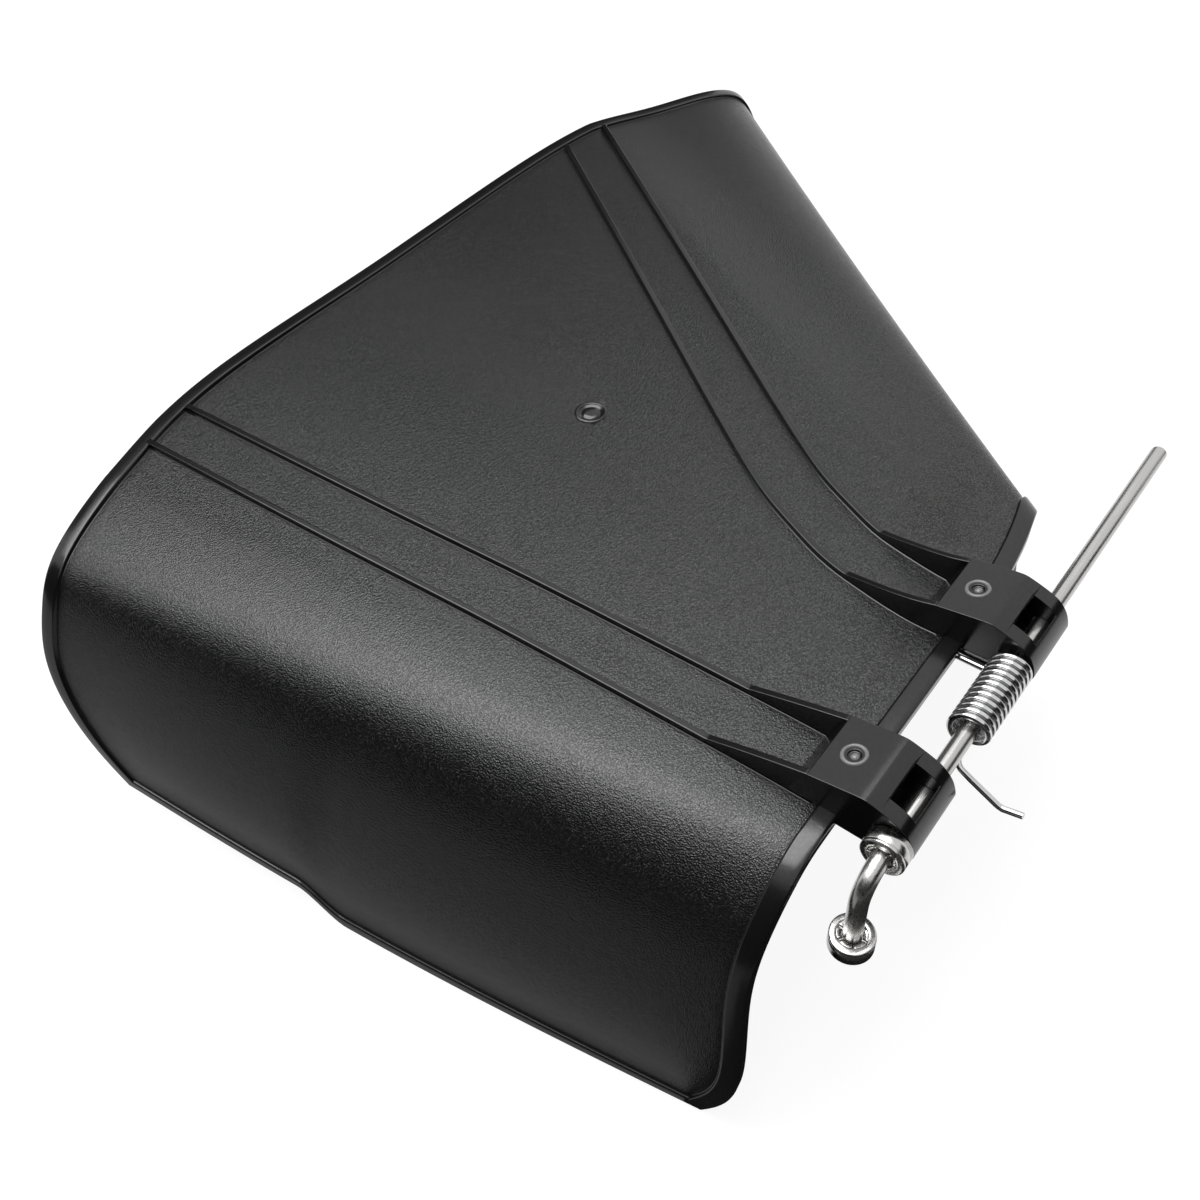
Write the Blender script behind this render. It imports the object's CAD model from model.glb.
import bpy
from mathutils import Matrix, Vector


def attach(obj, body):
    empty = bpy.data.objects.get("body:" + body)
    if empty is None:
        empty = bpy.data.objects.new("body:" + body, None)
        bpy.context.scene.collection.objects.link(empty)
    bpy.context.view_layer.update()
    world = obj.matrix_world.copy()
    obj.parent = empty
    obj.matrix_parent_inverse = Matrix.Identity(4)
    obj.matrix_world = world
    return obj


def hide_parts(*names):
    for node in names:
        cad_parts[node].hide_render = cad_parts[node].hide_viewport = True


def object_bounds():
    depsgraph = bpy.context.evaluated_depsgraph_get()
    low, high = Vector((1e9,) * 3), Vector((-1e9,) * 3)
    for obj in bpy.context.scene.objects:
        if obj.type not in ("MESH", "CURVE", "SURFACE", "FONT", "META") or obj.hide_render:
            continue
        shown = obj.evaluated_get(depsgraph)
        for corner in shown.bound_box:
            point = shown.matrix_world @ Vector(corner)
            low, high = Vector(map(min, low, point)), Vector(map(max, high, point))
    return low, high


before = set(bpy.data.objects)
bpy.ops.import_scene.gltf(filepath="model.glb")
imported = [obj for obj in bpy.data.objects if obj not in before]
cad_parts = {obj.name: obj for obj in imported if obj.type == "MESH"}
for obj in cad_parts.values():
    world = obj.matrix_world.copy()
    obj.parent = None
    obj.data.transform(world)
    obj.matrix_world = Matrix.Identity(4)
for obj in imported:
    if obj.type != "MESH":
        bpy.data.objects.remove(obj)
cad_box = [list(corner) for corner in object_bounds()]

import math

import bmesh
import bpy
import numpy as np
from mathutils import Matrix, Vector

# White ground, soft light and the photo's camera. The shield stands on its skirts' lower edges
# under one broad soft box. Only reflections see the cards round it: dark and dim walls, a grey
# floor with a dark patch under the crank, and a bright strip overhead.
scene = bpy.context.scene
MM = 0.001


def node_material(name, colour, roughness, metallic=0.0):
    mat = bpy.data.materials.new(name)
    mat.use_nodes = True
    tree = mat.node_tree
    shader = tree.nodes["Principled BSDF"]
    shader.inputs["Base Color"].default_value = (*colour, 1.0)
    shader.inputs["Roughness"].default_value = roughness
    shader.inputs["Metallic"].default_value = metallic
    coords = tree.nodes.new("ShaderNodeTexCoord")
    return mat, tree, shader, coords


def add_node(tree, kind, settings=None, **values):
    node = tree.nodes.new(kind)
    for key, value in (settings or {}).items():
        setattr(node, key, value)
    for key, value in values.items():
        node.inputs[key.replace("_", " ")].default_value = value
    return node


def ramp(tree, source, stops):
    node = tree.nodes.new("ShaderNodeValToRGB")
    node.color_ramp.elements[0].position = stops[0][0]
    node.color_ramp.elements[0].color = (*stops[0][1], 1.0)
    node.color_ramp.elements[1].position = stops[-1][0]
    node.color_ramp.elements[1].color = (*stops[-1][1], 1.0)
    for place, colour in stops[1:-1]:
        node.color_ramp.elements.new(place).color = (*colour, 1.0)
    tree.links.new(source, node.inputs["Fac"])
    return node.outputs["Color"]


def seen_rays(tree):
    """1 for rays that look at the backdrop: from the camera, off a gloss or through glass."""
    rays = tree.nodes.new("ShaderNodeLightPath")
    first = add_node(tree, "ShaderNodeMath", {"operation": "MAXIMUM"})
    second = add_node(tree, "ShaderNodeMath", {"operation": "MAXIMUM"})
    tree.links.new(rays.outputs["Is Camera Ray"], first.inputs[0])
    tree.links.new(rays.outputs["Is Glossy Ray"], first.inputs[1])
    tree.links.new(first.outputs[0], second.inputs[0])
    tree.links.new(rays.outputs["Is Transmission Ray"], second.inputs[1])
    return second.outputs[0]


def card(name, corners, mat):
    """A flat rectangle of the studio, in metres."""
    mesh = bpy.data.meshes.new(name)
    mesh.from_pydata(corners, [], [(0, 1, 2, 3)])
    mesh.materials.append(mat)
    obj = bpy.data.objects.new(name, mesh)
    scene.collection.objects.link(obj)
    return obj


def flat_card(name, x_ends, y_ends, z, mat):
    (x0, x1), (y0, y1) = x_ends, y_ends
    return card(name, [(x0, y0, z), (x1, y0, z), (x1, y1, z), (x0, y1, z)], mat)


def wall_card(name, start, end, foot, top, mat):
    return card(name, [(*start, foot), (*end, foot), (*end, top), (*start, top)], mat)


FLOOR_GAP = 0.0002
floor_z = cad_box[0][2] - FLOOR_GAP
ground_mat, tree, shader, coords = node_material("ground_white", (0.55, 0.55, 0.55), 0.9)
glow = add_node(tree, "ShaderNodeEmission", Color=(1, 1, 1, 1), Strength=0.92)
skin = add_node(tree, "ShaderNodeBsdfDiffuse", Color=(0.16, 0.16, 0.16, 1))
shown = tree.nodes.new("ShaderNodeAddShader")
pick = tree.nodes.new("ShaderNodeMixShader")
tree.links.new(glow.outputs[0], shown.inputs[0])
tree.links.new(skin.outputs[0], shown.inputs[1])
tree.links.new(seen_rays(tree), pick.inputs["Fac"])
tree.links.new(shader.outputs[0], pick.inputs[1])
tree.links.new(shown.outputs[0], pick.inputs[2])
tree.links.new(pick.outputs[0], tree.nodes["Material Output"].inputs["Surface"])
flat_card("ground", (-3, 3), (-3, 3), floor_z, ground_mat)

dark = node_material("dark_card", (0.012, 0.012, 0.012), 0.9)[0]
dim = node_material("dim_card", (0.1, 0.1, 0.1), 0.9)[0]
grey = node_material("grey_card", (0.32, 0.32, 0.32), 0.9)[0]
bright_mat, tree, shader, coords = node_material("bright_card", (0, 0, 0), 0.9)
shader.inputs["Emission Color"].default_value = (1, 1, 1, 1)
shader.inputs["Emission Strength"].default_value = 3.0
strip = [(0.7, 0.1, 1.31), (0.7, 0.5, 1.31), (0.95, 0.5, 1.31), (0.95, 0.1, 1.31)]
low = floor_z + MM
near_x = -1.1
front_y = -1.4
reflected = [
    wall_card("side_card", (near_x, 2.0), (near_x, front_y), low, 1.1, dark),
    wall_card("front_card", (near_x, front_y), (2.0, front_y), low, 1.0, dark),
    flat_card("low_card", (near_x, -0.03), (front_y, 1.0), low, grey),
    wall_card("far_card", (-0.2, 1.9), (3.0, 1.9), low, 1.7, dim),
    flat_card("under_card", (-0.5, 0.06), (-0.5, 0.03), low + MM, dark),
    card("strip_card", strip, bright_mat),
]
for obj in reflected:
    obj.visible_camera = False
    obj.visible_diffuse = False
    obj.visible_shadow = False

world = bpy.data.worlds.new("studio")
scene.world = world
world.use_nodes = True
tree = world.node_tree
back = tree.nodes["Background"]
back.inputs["Color"].default_value = (1, 1, 1, 1)
back.inputs["Strength"].default_value = 0.15
white = add_node(tree, "ShaderNodeBackground", Color=(1, 1, 1, 1), Strength=1.0)
mix = tree.nodes.new("ShaderNodeMixShader")
tree.links.new(seen_rays(tree), mix.inputs["Fac"])
tree.links.new(back.outputs[0], mix.inputs[1])
tree.links.new(white.outputs[0], mix.inputs[2])
tree.links.new(mix.outputs[0], tree.nodes["World Output"].inputs["Surface"])


def softbox(name, place, target, width, depth, power):
    lamp = bpy.data.lights.new(name, "AREA")
    lamp.shape = "RECTANGLE"
    lamp.size = width
    lamp.size_y = depth
    lamp.energy = power
    obj = bpy.data.objects.new(name, lamp)
    obj.location = place
    obj.rotation_euler = (Vector(target) - Vector(place)).to_track_quat("-Z", "Y").to_euler()
    scene.collection.objects.link(obj)


softbox("overhead_light", (-0.06, 0.68, 1.3), (-0.06, 0.68, 0.0), width=1.32, depth=1.5, power=34.0)

LENS_MM = 38.04
CAMERA_PLACE = Vector((-0.1958, -0.0637, 0.3144))
lens = bpy.data.cameras.new("photo_camera")
lens.sensor_width = 36.0
lens.lens = LENS_MM
camera = bpy.data.objects.new("photo_camera", lens)
right = Vector((0.60251, -0.79657, -0.04947))
down = Vector((-0.60453, -0.41503, -0.67992))
forward = Vector((0.52107, 0.43956, -0.73162))
turn = Matrix((right, -down, -forward)).transposed().to_4x4()
camera.matrix_world = Matrix.Translation(CAMERA_PLACE) @ turn
scene.collection.objects.link(camera)
scene.camera = camera
scene.view_settings.view_transform = "Standard"

# Hood: one moulding of black plastic, of a kind the photo can't tell. A near-flat grained top
# between two skirts, a smooth raised band all round, two hinge arms of paired ribs that climb to
# hollow ears, and round marks taken to be those of the gates.
WALL = 2.4
PANEL_Z = -2.5
SKIRT_Z = -109.0
SKIRT_BULGE = 3.8
JOG_RISE = 13.0
JOG_FROM_Y = 168.0
JOG_RUN = 20.0
FIRST_FLAT_KNOT = 6


def moulded(name, tone, gloss, grain_scale, depth, strength, pits=0.03):
    """Black plastic: grain of round dots, which are shinier than the pits between them."""
    mat, tree, shader, coords = node_material(name, (tone, tone, tone), gloss)
    grain = add_node(tree, "ShaderNodeTexNoise", Scale=grain_scale * 1.6, Detail=1.0, Roughness=0.5)
    cells = add_node(tree, "ShaderNodeTexVoronoi", Scale=grain_scale)
    cloud = add_node(tree, "ShaderNodeTexNoise", Scale=11.0, Detail=4.0, Roughness=0.55)
    for source in (grain, cells, cloud):
        tree.links.new(coords.outputs["Object"], source.inputs["Vector"])
    dots = add_node(tree, "ShaderNodeMath", {"operation": "MULTIPLY_ADD"})
    dots.inputs[1].default_value = -0.8
    tree.links.new(cells.outputs["Distance"], dots.inputs[0])
    tree.links.new(grain.outputs["Fac"], dots.inputs[2])
    shine = ramp(tree, dots.outputs[0], [(0.0, (0.56 - pits,) * 3), (0.4, (0.56 + pits,) * 3)])
    tree.links.new(shine, shader.inputs["Specular IOR Level"])
    bump = add_node(tree, "ShaderNodeBump", Strength=strength, Distance=depth)
    tree.links.new(dots.outputs[0], bump.inputs["Height"])
    tree.links.new(bump.outputs["Normal"], shader.inputs["Normal"])
    rough = ramp(tree, cloud.outputs["Fac"], [(0.3, (gloss * 0.9,) * 3), (0.7, (gloss * 1.12,) * 3)])
    tree.links.new(rough, shader.inputs["Roughness"])
    pale = (tone * 1.1, tone * 1.1, tone * 1.12)
    shade = ramp(tree, cloud.outputs["Fac"], [(0.35, (tone * 0.92,) * 3), (0.65, pale)])
    tree.links.new(shade, shader.inputs["Base Color"])
    return mat


plastic = moulded(
    "black_plastic_grained",
    tone=0.0042,
    gloss=0.22,
    grain_scale=1600.0,
    depth=0.00017,
    strength=0.8,
    pits=0.2,
)
plain_plastic = moulded(
    "black_plastic_smooth", tone=0.004, gloss=0.19, grain_scale=700.0, depth=0.00003, strength=0.2
)
gate_mark = moulded(
    "black_plastic_at_gate", tone=0.17, gloss=0.2, grain_scale=500.0, depth=0.00003, strength=0.2
)

hinge_edge = np.array([
    (-58, 24, SKIRT_Z), (-58, 11.7, -75), (-47.7, 15.9, -40), (-36.9, 17.2, -21.2), (-19.7, 17.2, -6.4),
    (-7, 17.2, -2.9), (12, 17.2, PANEL_Z), (42, 17.2, PANEL_Z), (78, 17.2, PANEL_Z), (112, 18, PANEL_Z),
    (137.3, 20.9, -2.8), (158, 26, -10), (163.5, 29.5, -34), (173, 29, -68), (181, 30, SKIRT_Z),
], float)
far_edge = np.array([
    (-89.2, 277.2, SKIRT_Z), (-89.7, 293.6, -81.3), (-83.3, 308.9, -46.7), (-75.2, 310, -25.2),
    (-61.6, 312.4, -9.3), (-32.9, 320.9, -2.9), (6.3, 333.7, PANEL_Z), (50, 340, PANEL_Z),
    (165, 340.52, PANEL_Z), (297.2, 336.7, PANEL_Z), (339.3, 321.3, -5.8), (375.2, 297.4, -7),
    (382.1, 288.2, -25.1), (393, 266, -68), (402, 258, SKIRT_Z),
], float)
chords = np.linalg.norm(np.diff(hinge_edge, axis=0), axis=1)
chords += np.linalg.norm(np.diff(far_edge, axis=0), axis=1)
knots = np.concatenate([[0.0], np.cumsum(chords)]) / chords.sum()


def edge_bends(points):
    """Second derivatives of the smooth curve through one edge's points."""
    count = len(knots)
    step = np.diff(knots)
    system = np.eye(count)
    right = np.zeros((count, 3))
    for i in range(1, count - 1):
        system[i, i - 1 : i + 2] = step[i - 1], 2 * (step[i - 1] + step[i]), step[i]
        right[i] = 6 * ((points[i + 1] - points[i]) / step[i] - (points[i] - points[i - 1]) / step[i - 1])
    return np.linalg.solve(system, right)


hinge_bends = edge_bends(hinge_edge)
far_bends = edge_bends(far_edge)


def on_edge(points, second, u):
    k = np.clip(np.searchsorted(knots, u) - 1, 0, len(knots) - 2)
    h = (knots[k + 1] - knots[k])[..., None]
    a = (knots[k + 1] - u)[..., None] / h
    b = 1 - a
    bend = ((a**3 - a) * second[k] + (b**3 - b) * second[k + 1]) * h * h / 6
    return a * points[k] + b * points[k + 1] + bend


def smooth(t):
    t = np.clip(t, 0.0, 1.0)
    return t * t * (3 - 2 * t)


def shell_points(u, v):
    """Outer face without its band, in mm; the near skirt bulges and its far part is raised."""
    u, v = np.broadcast_arrays(np.clip(u, 0.0, 1.0), np.clip(v, 0.0, 1.0))
    side = v[..., None]
    p = on_edge(hinge_edge, hinge_bends, u) * (1 - side) + on_edge(far_edge, far_bends, u) * side
    p[..., 2] = np.minimum(p[..., 2], PANEL_Z)
    share = np.where(u < knots[FIRST_FLAT_KNOT], (p[..., 2] - PANEL_Z) / (SKIRT_Z - PANEL_Z), 0.0)
    p[..., 0] -= SKIRT_BULGE * np.sin(np.pi * v) * smooth(share * 1.3)
    p[..., 2] += JOG_RISE * smooth((p[..., 1] - JOG_FROM_Y) / JOG_RUN) * share**1.5
    return p


# the band's section: distance from the edge and height over the shell, in mm
band_at = np.array([0.0, 0.12, 0.4, 0.9, 3.5, 5.9, 6.35, 6.65, 6.8, 6.95, 7.15, 7.5, 8.1])
band_up = np.array([0.2, 0.7, 1.05, 1.2, 1.2, 1.2, 1.16, 0.95, 0.5, 0.02, -0.16, -0.1, 0.0])


def edge_stops(count, length, near_stretch, far_stretch):
    near = band_at * near_stretch
    far = length - band_at[::-1] * far_stretch
    return np.concatenate([near, np.linspace(near[-1], far[0], count + 1)[1:-1], far])


def hood_shell(across, along):
    """The wall with its raised band: corners, faces, and which faces are smooth plastic."""
    steps = np.linspace(0, 1, 1201)
    ends = []
    for v in (0.0, 1.0):
        line = shell_points(steps, v)
        run = np.concatenate([[0.0], np.cumsum(np.linalg.norm(np.diff(line, axis=0), axis=1))])
        ends.append(np.interp(edge_stops(across, run[-1], 1.0, 1.0), run, steps))
    rim = len(band_at)
    middle = 0.5 * (ends[0] + ends[1])
    ends = [np.concatenate([e[:rim], middle[rim:-rim], e[-rim:]]) for e in ends]
    nu = len(middle)
    over = shell_points(ends[1], 1.0) - shell_points(ends[0], 0.0)
    length = np.linalg.norm(over, axis=1)
    stretch = []
    for e, v in zip(ends, (0.0, 1.0)):
        edge = shell_points(e + 1e-3, v) - shell_points(e - 1e-3, v)
        turn_in = np.linalg.norm(np.cross(edge, over), axis=1) / (np.linalg.norm(edge, axis=1) * length)
        stretch.append(1.0 / np.maximum(turn_in, 0.5))
    v = np.array([edge_stops(along, length[i], stretch[0][i], stretch[1][i]) / length[i] for i in range(nu)])
    nv = v.shape[1]
    u = ends[0][:, None] * (1 - v) + ends[1][:, None] * v
    base = shell_points(u, v)
    du = shell_points(u + 2e-3, v) - shell_points(u - 2e-3, v)
    dv = shell_points(u, v + 2e-3) - shell_points(u, v - 2e-3)
    normal = np.cross(du, dv)
    normal /= np.linalg.norm(normal, axis=-1, keepdims=True)
    near_u = np.minimum(np.arange(nu), nu - 1 - np.arange(nu))[:, None]
    near_v = np.minimum(np.arange(nv), nv - 1 - np.arange(nv))[None, :]
    place = np.minimum(np.minimum(near_u, near_v), rim - 1)
    rise = band_up[place]
    at_far = (near_v <= near_u) & (np.arange(nv)[None, :] > nv // 2) & (rise > 0)
    # the far band stands higher where the first arm meets it
    lift = 1 + 0.5 * smooth((base[..., 0] + 70) / 40) * smooth((150 - base[..., 0]) / 130)
    rise = np.where(at_far, rise * lift, rise)
    outer = (base + normal * rise[..., None]).reshape(-1, 3) * MM
    inner = (base - normal * WALL).reshape(-1, 3) * MM
    verts = [tuple(p) for p in np.concatenate([outer, inner])]
    off = nu * nv
    faces = []
    smooth_faces = []
    for i in range(nu - 1):
        for j in range(nv - 1):
            a, b = i * nv + j, (i + 1) * nv + j
            on_band = min(i, nu - 2 - i, j, nv - 2 - j) < rim - 3
            faces.append((a, b, b + 1, a + 1))
            smooth_faces.append(on_band)
            faces.append((off + a, off + a + 1, off + b + 1, off + b))
            smooth_faces.append(True)
    edge = [i * nv for i in range(nu)] + [(nu - 1) * nv + j for j in range(1, nv)]
    edge += [i * nv + nv - 1 for i in reversed(range(nu - 1))] + list(reversed(range(1, nv - 1)))
    for a, b in zip(edge, edge[1:] + edge[:1]):
        faces.append((a, off + a, off + b, b))
        smooth_faces.append(True)
    return verts, faces, smooth_faces


def piece(name, verts, faces, mat, soft=True):
    mesh = bpy.data.meshes.new(name)
    mesh.from_pydata([tuple(v) for v in verts], [], [tuple(f) for f in faces])
    bm = bmesh.new()
    bm.from_mesh(mesh)
    bmesh.ops.recalc_face_normals(bm, faces=bm.faces)
    for face in bm.faces:
        face.smooth = soft
    bm.to_mesh(mesh)
    bm.free()
    mesh.materials.append(mat)
    obj = bpy.data.objects.new(name, mesh)
    scene.collection.objects.link(obj)
    return obj


def bake(obj):
    """Turns the object's modifiers into its own mesh."""
    bpy.context.view_layer.update()
    mesh = bpy.data.meshes.new_from_object(obj.evaluated_get(bpy.context.evaluated_depsgraph_get()))
    obj.modifiers.clear()
    obj.data = mesh
    return obj


def prism(name, outline, x0, x1):
    n = len(outline)
    verts = [(x0 * MM, y * MM, z * MM) for y, z in outline] + [(x1 * MM, y * MM, z * MM) for y, z in outline]
    faces = [tuple(range(n)), tuple(reversed(range(n, 2 * n)))]
    faces += [(i, n + i, n + (i + 1) % n, (i + 1) % n) for i in range(n)]
    return piece(name, verts, faces, plain_plastic, soft=False)


def lathe(name, profile, place, axis, mat, steps=64):
    """Turned ring or disc; profile is (radius, height) in mm, and a radius of 0 closes it."""
    spin = Vector((0, 0, 1)).rotation_difference(Vector(axis)).to_matrix()
    bm = bmesh.new()
    rings = []
    for r, h in profile:
        if r == 0:
            rings.append([bm.verts.new((spin @ Vector((0, 0, h)) + Vector(place)) * MM)])
            continue
        ring = []
        for i in range(steps):
            a = 2 * math.pi * i / steps
            spot = spin @ Vector((r * math.cos(a), r * math.sin(a), h))
            ring.append(bm.verts.new((spot + Vector(place)) * MM))
        rings.append(ring)
    pairs = list(zip(rings, rings[1:]))
    if profile[0][0] and profile[-1][0]:
        pairs.append((rings[-1], rings[0]))
    for a, b in pairs:
        for i in range(steps):
            j = (i + 1) % steps
            if len(a) == 1:
                bm.faces.new((a[0], b[i], b[j]))
            elif len(b) == 1:
                bm.faces.new((a[i], b[0], a[j]))
            else:
                bm.faces.new((a[i], b[i], b[j], a[j]))
    bmesh.ops.recalc_face_normals(bm, faces=bm.faces)
    for face in bm.faces:
        face.smooth = True
    mesh = bpy.data.meshes.new(name)
    bm.to_mesh(mesh)
    bm.free()
    mesh.materials.append(mat)
    obj = bpy.data.objects.new(name, mesh)
    scene.collection.objects.link(obj)
    return obj


def cut(target, tools):
    for tool in tools:
        mod = target.modifiers.new(tool.name, "BOOLEAN")
        mod.operation = "DIFFERENCE"
        mod.solver = "EXACT"
        mod.object = tool
    bake(target)
    for tool in tools:
        bpy.data.objects.remove(tool, do_unlink=True)


verts, faces, smooth_faces = hood_shell(across=190, along=110)
shell = piece("hood_shell", verts, faces, plastic)
shell.data.materials.append(plain_plastic)
shell.data.polygons.foreach_set("material_index", [int(flag) for flag in smooth_faces])


def arc(cy, cz, r, a0, a1, steps):
    angles = [math.radians(a0 + (a1 - a0) * i / steps) for i in range(steps + 1)]
    return [(cy + r * math.cos(a), cz + r * math.sin(a)) for a in angles]


def spline(points, t):
    count = len(points) - 1
    k = min(int(t * count), count - 1)
    s = t * count - k
    p1 = Vector(points[k])
    p2 = Vector(points[k + 1])
    p0 = Vector(points[k - 1]) if k > 0 else 2 * p1 - p2
    p3 = Vector(points[k + 2]) if k + 2 <= count else 2 * p2 - p1
    m1 = (p2 - p0) * 0.5
    m2 = (p3 - p1) * 0.5
    limit = (p2 - p1).length * 1.2
    if m1.length > limit:
        m1 = m1.normalized() * limit
    if m2.length > limit:
        m2 = m2.normalized() * limit
    ends = p1 * (2 * s**3 - 3 * s**2 + 1) + p2 * (3 * s**2 - 2 * s**3)
    return ends + m1 * (s**3 - 2 * s**2 + s) + m2 * (s**3 - s**2)


EAR_WIDTH = 26.2
EAR_X = (0.0, 80.2)
WINDOW_INSET = 5.6
BORE_R = 3.35
GATE_Y = 20.5
GATE_Z = 11.28
PLATE_SLOPE = 0.155
nose = [
    (11.0, 12.66), (9.9, 12.62), (8.8, 12.4), (7.0, 11.9), (4.5, 11.1), (2.2, 10.3), (0.0, 9.35),
    (-1.9, 8.25), (-3.5, 6.85), (-4.8, 5.2), (-5.8, 3.4), (-6.5, 1.5), (-6.95, -0.3),
]
ear_outline = [(35.5, PANEL_Z - 1.0), (28.7, 10.0), (14.5, 12.25), (12.4, 12.55)]
ear_outline += [tuple(spline(nose, i / 48)) for i in range(49)]
ear_outline += arc(-0.2, -0.2, 7.0, 190, 268, 16) + [(18.0, -6.2), (24.0, -4.6)]
core = [(12.5, -9.0), (12.5, 10.1), (26.3, 7.9), (26.3, -9.0)]
pocket = [
    (-6.1, 9.9), (-3.1, 5.9), (-4.0, 3.6), (-4.2, -4.2), (8.0, -4.2), (8.0, 4.0), (5.0, 9.8),
    (5.0, 16.6), (-6.1, 16.6),
]
bore = [(0, -10), (BORE_R, -10), (BORE_R, 40), (0, 40)]
tilt = Vector((0, PLATE_SLOPE, 1)).normalized()
dimple = [(0, -0.8), (1.9, -0.6), (2.7, 2.0), (0, 2.0)]
ring = [
    (4.3, -0.1), (4.15, 0.22), (3.9, 0.46), (3.55, 0.55), (3.2, 0.42), (2.95, 0.1), (2.8, -0.5),
    (4.2, -0.45),
]
button = [(0, 0.5), (0.5, 0.44), (1.0, 0.22), (1.35, -0.15), (1.55, -0.75), (0, -0.75)]
hood_parts = []
shell_tools = []
for number, ear_x in enumerate(EAR_X):
    x0, x1 = ear_x + WALL, ear_x + EAR_WIDTH - WALL
    shell_tools.append(prism("shell_core_%d" % number, core, x0, x1))
    ear = prism("ear_%d" % number, ear_outline, ear_x, ear_x + EAR_WIDTH)
    tools = [prism("ear_core_%d" % number, core, x0, x1)]
    window = ear_x + WINDOW_INSET, ear_x + EAR_WIDTH - WINDOW_INSET
    tools.append(prism("ear_pocket_%d" % number, pocket, *window))
    tools.append(lathe("ear_bore_%d" % number, bore, (ear_x, 0, 0), (1, 0, 0), plain_plastic))
    spot = Vector((ear_x + EAR_WIDTH * 0.5, GATE_Y, GATE_Z))
    tools.append(lathe("gate_cut_%d" % number, dimple, spot, tilt, plain_plastic, 40))
    cut(ear, tools)
    for face in ear.data.polygons:
        face.use_smooth = True
    soften = ear.modifiers.new("soften", "BEVEL")
    soften.width = 0.6 * MM
    soften.segments = 4
    soften.limit_method = "ANGLE"
    soften.angle_limit = math.radians(35)
    soften.harden_normals = True
    bake(ear)
    hood_parts.append(ear)
    hood_parts.append(lathe("gate_ring_%d" % number, ring, spot, tilt, gate_mark, 48))
    off_centre = spot + Vector((-0.4, -0.4, 0.05))
    hood_parts.append(lathe("gate_button_%d" % number, button, off_centre, tilt, gate_mark, 32))
gate = (109.0, 191.0, PANEL_Z)
gate_cut = [(0, -0.5), (4.6, -0.5), (5.4, 0.4), (5.4, 3.0), (0, 3.0)]
shell_tools.append(lathe("panel_gate_cut", gate_cut, gate, (0, 0, 1), plain_plastic))
cut(shell, shell_tools)
hood_parts.append(shell)
pip = [(0, 0.15), (2.0, 0.1), (3.2, -0.1), (3.8, -0.45), (4.2, -0.8), (0, -0.8)]
hood_parts.append(lathe("panel_gate_pip", pip, gate, (0, 0, 1), plain_plastic))
lip = [(4.9, -0.3), (5.1, 0.12), (5.5, 0.3), (6.0, 0.26), (6.6, 0.02), (6.6, -0.3)]
hood_parts.append(lathe("panel_gate_lip", lip, gate, (0, 0, 1), plain_plastic))

# the arms' ribs run low over the shell, then climb to the ears' top plates
RIB_WIDTH = 2.4
RIB_RISE = 2.2
RIB_TOP_Z = 9.95
CLIMB_FROM_Y = 64.0
CLIMB_TO_Y = 28.7
arm_paths = [
    [(0.0, 26), (0.3, 45), (0.2, 64), (0.0, 90), (-0.8, 150), (-3.2, 225), (-5.3, 322)],
    [
        (80.2, 26), (80.6, 38), (83.2, 54), (87.6, 72), (95.5, 90), (108, 113), (133, 148), (195, 230),
        (271, 332),
    ],
]
# how far each rib runs on past the end of its path, in mm
arm_ends = [(3.0, 7.0), (0.0, 13.0)]


def rib(name, points, shift, samples, extra):
    pts = [spline([(x, y, 0) for x, y in points], i / samples) for i in range(samples + 1)]
    verts = []
    for i, p in enumerate(pts):
        d = (pts[min(i + 1, samples)] - pts[max(i - 1, 0)]).normalized()
        side = Vector((d.y, -d.x, 0))
        p = p + side * shift + d * (extra if i == samples else 0.0)
        climb = min(1.0, max(0.0, (CLIMB_FROM_Y - p.y) / (CLIMB_FROM_Y - CLIMB_TO_Y)))
        start = PANEL_Z + RIB_RISE
        top = start + (RIB_TOP_Z - start) * climb
        foot = [(-0.7, -0.5), (-0.6, 0.02), (-0.3, 0.08), (-0.08, 0.28), (0, 0.6)]
        half = [(s, PANEL_Z + z) for s, z in foot]
        half += [(0, top - 0.5), (0, top - 0.28), (0.08, top - 0.08), (0.28, top), (0.5, top)]
        section = half + [(RIB_WIDTH - s, z) for s, z in reversed(half)]
        for s, z in section:
            q = p + side * s
            verts.append(Vector((q.x, q.y, z)) * MM)
    n = len(section)
    faces = [tuple(range(n)), tuple(n * samples + k for k in reversed(range(n)))]
    for i in range(samples):
        for k in range(n):
            a, b = n * i + k, n * i + (k + 1) % n
            faces.append((a, a + n, b + n, b))
    return piece(name, verts, faces, plain_plastic)


for number, path in enumerate(arm_paths):
    for side_no, shift in enumerate((0.0, EAR_WIDTH - RIB_WIDTH)):
        hood_parts.append(rib("rib_%d%d" % (number, side_no), path, shift, 160, arm_ends[number][side_no]))

bpy.ops.object.select_all(action="DESELECT")
for part in hood_parts:
    part.select_set(True)
bpy.context.view_layer.objects.active = hood_parts[0]
bpy.ops.object.join()
hood = bpy.context.view_layer.objects.active
hood.name = "hood_moulding"
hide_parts("hood")
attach(hood, "hood")

# Hinge rod: 6 mm bar, cut square at one end and cranked down at the other.
# Drawn and zinc plated, so it keeps fine lines along its length and a soft sheen.
ROD_R = 3.0
ROD_END_X = 203.6
BEND_X = -7.0
BEND_R = 10.0
ARM_X = BEND_X - BEND_R
ARM_LENGTH = 31.5


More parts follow.
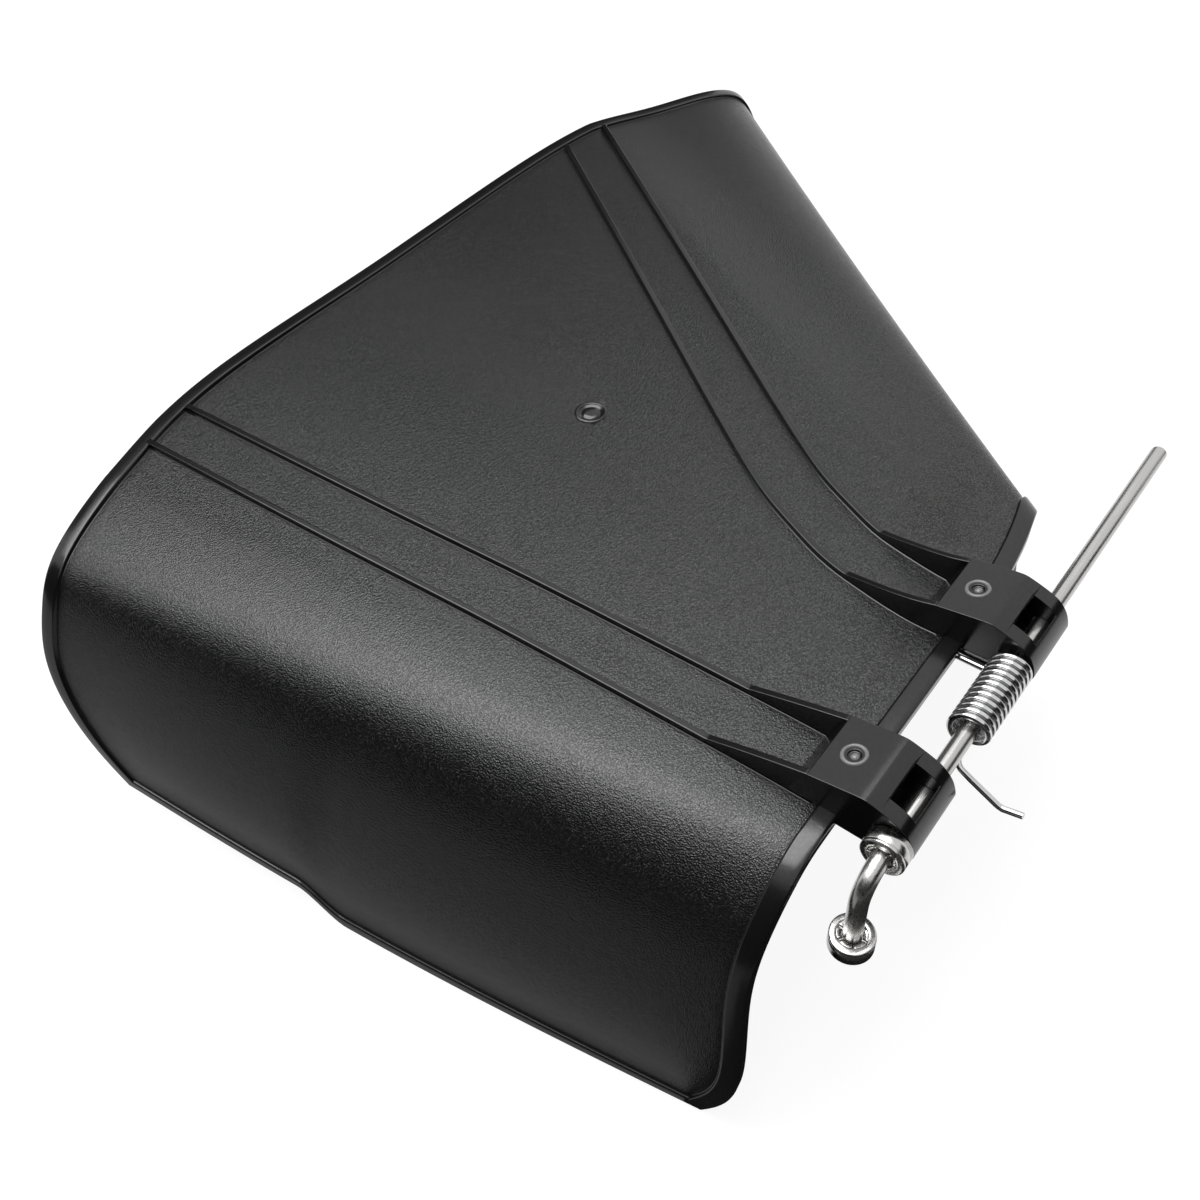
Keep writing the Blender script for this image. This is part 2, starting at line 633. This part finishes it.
def plated(name, colour, roughness, stretch, depth):
    mat, tree, shader, coords = node_material(name, colour, roughness, 1.0)
    mapping = tree.nodes.new("ShaderNodeMapping")
    mapping.inputs["Scale"].default_value = stretch
    tree.links.new(coords.outputs["Object"], mapping.inputs["Vector"])
    lines = add_node(tree, "ShaderNodeTexNoise", Scale=1.0, Detail=4.0, Roughness=0.6)
    tree.links.new(mapping.outputs[0], lines.inputs["Vector"])
    rough = ramp(tree, lines.outputs["Fac"], [(0.3, (roughness * 0.75,) * 3), (0.7, (roughness * 1.35,) * 3)])
    tree.links.new(rough, shader.inputs["Roughness"])
    tint = ramp(tree, lines.outputs["Fac"], [(0.25, tuple(c * 0.86 for c in colour)), (0.65, colour)])
    tree.links.new(tint, shader.inputs["Base Color"])
    bump = add_node(tree, "ShaderNodeBump", Strength=0.25, Distance=depth)
    tree.links.new(lines.outputs["Fac"], bump.inputs["Height"])
    tree.links.new(bump.outputs["Normal"], shader.inputs["Normal"])
    return mat


def group_modifier(obj, tree, **inputs):
    mod = obj.modifiers.new(tree.name, "NODES")
    mod.node_group = tree
    for item in tree.interface.items_tree:
        if item.item_type == "SOCKET" and item.in_out == "INPUT" and item.name in inputs:
            mod[item.identifier] = inputs[item.name]
    return bake(obj)


def new_tree(name, inputs):
    tree = bpy.data.node_groups.new(name, "GeometryNodeTree")
    tree.interface.new_socket("Geometry", in_out="INPUT", socket_type="NodeSocketGeometry")
    for label, kind in inputs:
        tree.interface.new_socket(label, in_out="INPUT", socket_type=kind)
    tree.interface.new_socket("Geometry", in_out="OUTPUT", socket_type="NodeSocketGeometry")
    return tree, tree.nodes.new("NodeGroupInput"), tree.nodes.new("NodeGroupOutput")


def sweep_tree():
    """A round bar along the path given by the mesh's edges, its ends closed."""
    sizes = [("Radius", "NodeSocketFloat"), ("Sides", "NodeSocketInt"), ("Material", "NodeSocketMaterial")]
    tree, given, out = new_tree("bar_along_path", sizes)
    path = tree.nodes.new("GeometryNodeMeshToCurve")
    ring = tree.nodes.new("GeometryNodeCurvePrimitiveCircle")
    solid = tree.nodes.new("GeometryNodeCurveToMesh")
    solid.inputs["Fill Caps"].default_value = True
    smooth_node = tree.nodes.new("GeometryNodeSetShadeSmooth")
    real = tree.nodes.new("GeometryNodeRealizeInstances")
    paint = tree.nodes.new("GeometryNodeSetMaterial")
    link = tree.links.new
    link(given.outputs["Geometry"], path.inputs[0])
    link(given.outputs["Radius"], ring.inputs["Radius"])
    link(given.outputs["Sides"], ring.inputs["Resolution"])
    link(path.outputs[0], solid.inputs["Curve"])
    link(ring.outputs[0], solid.inputs["Profile Curve"])
    link(solid.outputs[0], smooth_node.inputs[0])
    link(smooth_node.outputs[0], real.inputs[0])
    link(real.outputs[0], paint.inputs["Geometry"])
    link(given.outputs["Material"], paint.inputs["Material"])
    link(paint.outputs[0], out.inputs[0])
    return tree


bar = sweep_tree()


def swept(name, points, radius, sides, mat):
    mesh = bpy.data.meshes.new(name)
    steps = [(i, i + 1) for i in range(len(points) - 1)]
    mesh.from_pydata([tuple(c * MM for c in p) for p in points], steps, [])
    obj = bpy.data.objects.new(name, mesh)
    scene.collection.objects.link(obj)
    return group_modifier(obj, bar, Radius=radius * MM, Sides=sides, Material=mat)


zinc = plated("zinc_rod", (0.54, 0.535, 0.525), 0.26, (40.0, 2600.0, 2600.0), 0.00004)
rod_line = [(ROD_END_X - 8.0 * i, 0, 0) for i in range(26)] + [(BEND_X, 0, 0)]
for i in range(1, 25):
    a = math.radians(90 * i / 24)
    rod_line.append((BEND_X - BEND_R * math.sin(a), 0, -BEND_R * (1 - math.cos(a))))
rod_line += [(ARM_X, 0, z) for z in (-16, -21, -26, -ARM_LENGTH)]
rod = swept("hinge_rod_bar", rod_line, ROD_R, 48, zinc)
edge = rod.modifiers.new("chamfer", "BEVEL")
edge.width = 0.45 * MM
edge.segments = 2
edge.limit_method = "ANGLE"
edge.angle_limit = math.radians(50)
bake(rod)
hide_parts("hinge_rod")
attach(rod, "rod")

# Push nuts: pressed zinc plated caps whose spring teeth grip the rod. One holds the rod in the
# first ear, the other closes the cranked arm. Each is a cupped ring with six teeth, parted by
# slits and dipping a little towards the bar.
TOOTH_COUNT = 6
NUT_R = 7.1
NUT_DEPTH = 5.8


def ring_of_teeth():
    sizes = [("Count", "NodeSocketInt"), ("Radius", "NodeSocketFloat"), ("Material", "NodeSocketMaterial")]
    tree, given, out = new_tree("ring_of_teeth", sizes)
    ring = tree.nodes.new("GeometryNodeCurvePrimitiveCircle")
    points = tree.nodes.new("GeometryNodeCurveToPoints")
    place = tree.nodes.new("GeometryNodeInstanceOnPoints")
    real = tree.nodes.new("GeometryNodeRealizeInstances")
    paint = tree.nodes.new("GeometryNodeSetMaterial")
    link = tree.links.new
    link(given.outputs["Radius"], ring.inputs["Radius"])
    link(ring.outputs[0], points.inputs[0])
    link(given.outputs["Count"], points.inputs["Count"])
    spin = tree.nodes.new("FunctionNodeAlignRotationToVector")
    spin.axis = "X"
    spot = tree.nodes.new("GeometryNodeInputPosition")
    link(spot.outputs[0], spin.inputs["Vector"])
    link(points.outputs["Points"], place.inputs["Points"])
    link(given.outputs["Geometry"], place.inputs["Instance"])
    link(spin.outputs[0], place.inputs["Rotation"])
    link(place.outputs[0], real.inputs[0])
    link(real.outputs[0], paint.inputs["Geometry"])
    link(given.outputs["Material"], paint.inputs["Material"])
    link(paint.outputs[0], out.inputs[0])
    return tree


teeth_tree = ring_of_teeth()


def push_nut(name, centre, axis, mat):
    spin = Vector((0, 0, 1)).rotation_difference(Vector(axis)).to_matrix()
    cup = [
        (NUT_R, 0.0), (NUT_R, 4.3), (7.02, 4.42), (6.93, 4.5), (6.93, 4.62), (7.02, 4.7), (NUT_R, 4.82),
        (NUT_R, 5.3), (7.03, 5.56), (6.85, 5.73), (6.55, NUT_DEPTH), (5.6, NUT_DEPTH), (4.75, NUT_DEPTH),
        (4.6, 5.7), (4.6, 5.1), (5.6, 5.0), (6.2, 4.8), (6.4, 4.4), (6.4, 0.0),
    ]
    body = lathe(name, cup, centre, axis, mat, 96)
    # one tooth: radius, half angle and height, from its root to its tip
    tooth_rows = ((4.95, 25, 5.78), (4.6, 27, 5.79), (4.1, 26.5, 5.76), (3.6, 25, 5.6), (3.12, 23, 5.25))
    verts = []
    for r, half, h in tooth_rows:
        for k in range(7):
            a = math.radians(half * (k / 3 - 1))
            for t in (0.0, -0.6):
                verts.append(Vector((r * math.cos(a), r * math.sin(a), h + t)) * MM)
    faces = []
    for row in range(4):
        for k in range(6):
            a = (row * 7 + k) * 2
            b = ((row + 1) * 7 + k) * 2
            faces.append((a, b, b + 2, a + 2))
            faces.append((a + 1, a + 3, b + 3, b + 1))
        for k in (0, 6):
            a = (row * 7 + k) * 2
            b = ((row + 1) * 7 + k) * 2
            faces.append((a, a + 1, b + 1, b) if k == 0 else (a, b, b + 1, a + 1))
    for row in (0, 4):
        for k in range(6):
            a = (row * 7 + k) * 2
            faces.append((a, a + 2, a + 3, a + 1) if row == 0 else (a, a + 1, a + 3, a + 2))
    tooth = piece(name + "_teeth", verts, faces, mat)
    group_modifier(tooth, teeth_tree, Count=TOOTH_COUNT, Radius=0.00001, Material=mat)
    tooth.data.transform(Matrix.Translation(Vector(centre) * MM) @ spin.to_4x4())
    bpy.ops.object.select_all(action="DESELECT")
    body.select_set(True)
    tooth.select_set(True)
    bpy.context.view_layer.objects.active = body
    bpy.ops.object.join()
    return body


nut_zinc = plated("zinc_nut", (0.58, 0.575, 0.56), 0.22, (700.0, 700.0, 700.0), 0.00006)
for name, node, centre, axis, slot in (
    ("push_nut_at_ear", "push_nut_inner", (-0.3, 0, 0), (-1, 0, 0), "zinc_nut_inner"),
    ("push_nut_on_arm", "push_nut_end", (ARM_X, 0, -ARM_LENGTH - 1.2), (0, 0, 1), "zinc_nut_end"),
):
    nut = push_nut(name, centre, axis, nut_zinc)
    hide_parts(node)
    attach(nut, "rod")

# Torsion spring: bright wire wound round the rod in nearly twelve turns, with small gaps. One
# straight leg lies under the hood's edge. The other crosses under the rod, runs down and away
# from the hood, and ends in a short kink.
WIRE_R = 1.1
GAP = 0.3
LEG_LENGTH = 23.3
KINK_LENGTH = 7.3
coil_r = 6.0
coil_end = EAR_X[1] - GAP - WIRE_R
pitch = 2.6
turned_all = 360.0 * 12 - 30.0
leg_z = PANEL_Z - WALL - GAP - WIRE_R
wire = [(coil_end, 24.0, leg_z - 1.6), (coil_end, 22.4, leg_z - 0.8), (coil_end, 21.0, leg_z - 0.25)]
wire += [(coil_end, 19.5, leg_z), (coil_end, 10.0, leg_z), (coil_end, 5.0, leg_z + 0.1)]
for i in range(481):
    turned = turned_all * i / 480
    a = math.radians(-90.0 - turned)
    wire.append((coil_end - pitch * turned / 360.0, coil_r * math.cos(a), coil_r * math.sin(a)))
# the front leg leaves the last turn, crosses under the rod and runs straight on
heading = Vector((0, math.sin(a), -math.cos(a)))
foot = Vector((40.4, 3.0, -5.2)) + heading * LEG_LENGTH
wire += [(47.6, 1.5, -6.1), (46.4, 0.9, -6.4), (42.6, -0.7, -7.2), (41.6, -1.2, -7.45)]
wire += [(40.8, -1.9, -7.85), (40.45, -2.9, -8.5)]
wire += [tuple(foot - heading * 12), tuple(foot - heading * 1.6)]
wire += [tuple(foot - heading * 0.7 + Vector((0, -0.1, 0.05)))]
wire += [(foot.x, foot.y - 0.9, foot.z + 0.05), (foot.x, foot.y - KINK_LENGTH, foot.z + 1.6)]
bright = plated("spring_wire", (0.62, 0.62, 0.62), 0.16, (900.0, 900.0, 900.0), 0.00002)
spring = swept("torsion_spring_wire", wire, WIRE_R, 16, bright)
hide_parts("torsion_spring")
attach(spring, "hood")
